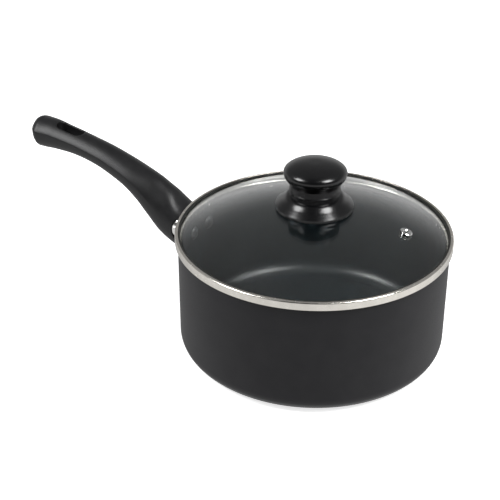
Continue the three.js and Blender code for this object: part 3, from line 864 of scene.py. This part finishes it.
def knob_screw(material):
    profile = rounded([
        (0, 97.4, 0), (2.6, 97.6, 1), (3.8, 98.4, 0.6), (4.2, 99.2, 0.4), (4.2, 99.9, 0.1), (1.9, 99.9, 0),
        (1.9, 114.6, 0.2), (1.3, 115.2, 0), (0, 115.2, 0),
    ], closed=False)
    screw = to_object("knob_screw_fine", lathe(profile, SMALL_SEGMENTS, closed=False))
    cut(screw, *cross_recess("recess", 4.4, 0.9, 96.8, 99, Matrix.Identity(4)))
    finish_piece(screw, "lid", ["knob_screw"], "screw_steel", material)


# Stage


def direction(azimuth, elevation):
    """A unit vector. Azimuth 0 is on the -Y side and turns towards +X."""
    a, e = math.radians(azimuth), math.radians(elevation)
    return Vector((math.sin(a) * math.cos(e), -math.cos(a) * math.cos(e), math.sin(e)))


def place_facing(thing, azimuth, elevation, distance):
    """Puts a camera or lamp at a distance from the view's target, turned to it."""
    back = direction(azimuth, elevation)
    thing.location = VIEW_TARGET + back * distance
    thing.rotation_mode = "QUATERNION"
    thing.rotation_quaternion = (-back).to_track_quat("-Z", "Y")
    bpy.context.scene.collection.objects.link(thing)


def camera():
    lens = bpy.data.cameras.new("camera")
    lens.lens = VIEW_LENS
    lens.sensor_width = 36
    lens.clip_start, lens.clip_end = 0.02, 30
    shown = bpy.data.objects.new("camera", lens)
    place_facing(shown, VIEW_AZIMUTH, VIEW_ELEVATION, VIEW_DISTANCE)
    bpy.context.scene.camera = shown


def softbox(name, azimuth, elevation, distance, width, height, watts, colour=(1, 1, 1)):
    lamp = bpy.data.lights.new(name, "AREA")
    lamp.shape = "RECTANGLE"
    lamp.size, lamp.size_y = width, height
    lamp.energy = watts
    lamp.color = colour
    shown = bpy.data.objects.new(name, lamp)
    place_facing(shown, azimuth, elevation, distance)
    shown.visible_camera = False


def floor():
    """A wide pale floor. Seen from below it is clear, so that it never hides the pan's base.

    Only the camera sees it. Reflections, bounced light and the glass get the room's pale lower half."""
    size = 8
    mesh = bmesh.new()
    bmesh.ops.create_grid(mesh, x_segments=2, y_segments=2, size=size)
    plane = to_object("floor", mesh, Matrix.Translation((0, 0, -0.0002)))
    look = Finish("floor_pale", {"Roughness": 0.9, "Specular IOR Level": 0, "Emission Strength": 0.75})
    look.colour(look.noise(400, 2), (0.8, 0.8, 0.8), (0.82, 0.82, 0.82))
    look.surface.inputs["Emission Color"].default_value = (1, 1, 1, 1)
    below = look.add("ShaderNodeNewGeometry").outputs["Backfacing"]
    clear = look.add("ShaderNodeBsdfTransparent").outputs[0]
    mixed = look.add("ShaderNodeMixShader", {0: below, 1: look.surface.outputs[0], 2: clear})
    look.tree.links.new(mixed.outputs[0], look.tree.nodes["Material Output"].inputs["Surface"])
    plane.data.materials.append(look.material)
    plane.visible_glossy = False
    plane.visible_diffuse = False
    plane.visible_transmission = False


def room_light():
    """A soft white room: bright at the horizon, dim overhead and behind the camera.

    Below the horizon it is as pale as the floor, brightest to the right and darkest behind the pan."""
    world = bpy.data.worlds.new("room")
    bpy.context.scene.world = world
    world.use_nodes = True
    tree = world.node_tree

    def add(kind, inputs, **settings):
        made = tree.nodes.new(kind)
        for name, value in settings.items():
            setattr(made, name, value)
        for socket, value in inputs.items():
            if isinstance(value, bpy.types.NodeSocket):
                tree.links.new(value, made.inputs[socket])
            else:
                made.inputs[socket].default_value = value
        return made

    def spread(value, low, high, at_low, at_high):
        inputs = {"Value": value, "From Min": low, "From Max": high, "To Min": at_low, "To Max": at_high}
        return add("ShaderNodeMapRange", inputs, interpolation_type="SMOOTHSTEP").outputs[0]

    def product(one, other):
        return add("ShaderNodeMath", {0: one, 1: other}, operation="MULTIPLY").outputs[0]

    way = add("ShaderNodeTexCoord", {}).outputs["Generated"]
    height = add("ShaderNodeSeparateXYZ", {0: way}).outputs["Z"]

    def along(azimuth):
        inputs = {0: way, 1: direction(azimuth, 0)}
        return add("ShaderNodeVectorMath", inputs, operation="DOT_PRODUCT").outputs["Value"]

    to_camera = along(VIEW_AZIMUTH)
    to_right = along(VIEW_AZIMUTH + 90)
    above = product(
        spread(height, 0, 0.5, ROOM_HORIZON, ROOM_ABOVE),
        spread(to_camera, -0.3, 0.4, 1, ROOM_BEHIND_CAMERA),
    )
    below = product(
        spread(to_right, -0.3, 0.9, ROOM_BELOW, ROOM_BELOW_RIGHT),
        spread(to_camera, -0.9, 0, ROOM_BEHIND_PAN, 1),
    )
    share = spread(height, -0.06, 0.06, 0, 1)
    strength = add("ShaderNodeMix", {0: share, 2: below, 3: above}).outputs[0]
    tree.links.new(strength, tree.nodes["Background"].inputs["Strength"])
    tree.nodes["Background"].inputs["Color"].default_value = (1, 1, 1, 1)


def build():
    band = rolled_steel("steel_band", (0.74, 0.71, 0.655), (0.8, 0.77, 0.715), 0.2)
    vent = rolled_steel("steel_vent", (0.78, 0.78, 0.77), (0.86, 0.86, 0.85), 0.1, 0.001)
    plated = plain_steel("steel_plated", (0.62, 0.62, 0.61))
    seal = silicone("silicone_seal", (0.012, 0.012, 0.011), (0.018, 0.018, 0.016))
    gasket = silicone("silicone_gasket", (0.5, 0.5, 0.48), (0.62, 0.62, 0.6))
    coating = rivet_coating()

    pan_body()
    rivet("bracket_rivet_left", 1, coating)
    rivet("bracket_rivet_right", -1, coating)
    flame_guard()
    handle()
    handle_screw(plated)
    washer_top = SCREW_SEAT - HANDLE_GAP
    washer("handle_screw_washer", "pan", "screw_steel", 2.25, 4.4, washer_top - 0.7, washer_top, plated,
           at_screw())
    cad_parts["handle_bracket"].data.materials[0] = plain_steel("steel_pressed", (0.5, 0.5, 0.49))

    lid_glass()
    lid_rim_band(band)
    lid_rim_seal(seal)
    vent_eyelet(vent)
    washer("vent_washer", "lid", "rim_seal", 3.2, 4.3, -4.4, -3.6, seal, at_vent())
    knob()
    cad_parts["knob_insert"].data.materials[0] = brass()
    washer("knob_gasket_upper", "lid", "gasket_silicone", 3.4, 8.3, 106, 107.1, gasket)
    knob_gasket_lower(gasket)
    washer("knob_washer", "lid", "screw_steel", 2.3, 6.5, 100.1, 100.9, plated)
    knob_screw(plated)


def light():
    softbox("softbox_left", -44, 47, 1.3, 0.5, 0.5, 11)
    softbox("softbox_right", 85, 50, 1.3, 0.5, 0.5, 14)


camera()
floor()
room_light()
light()
build()
bpy.context.scene.view_settings.view_transform = "Standard"
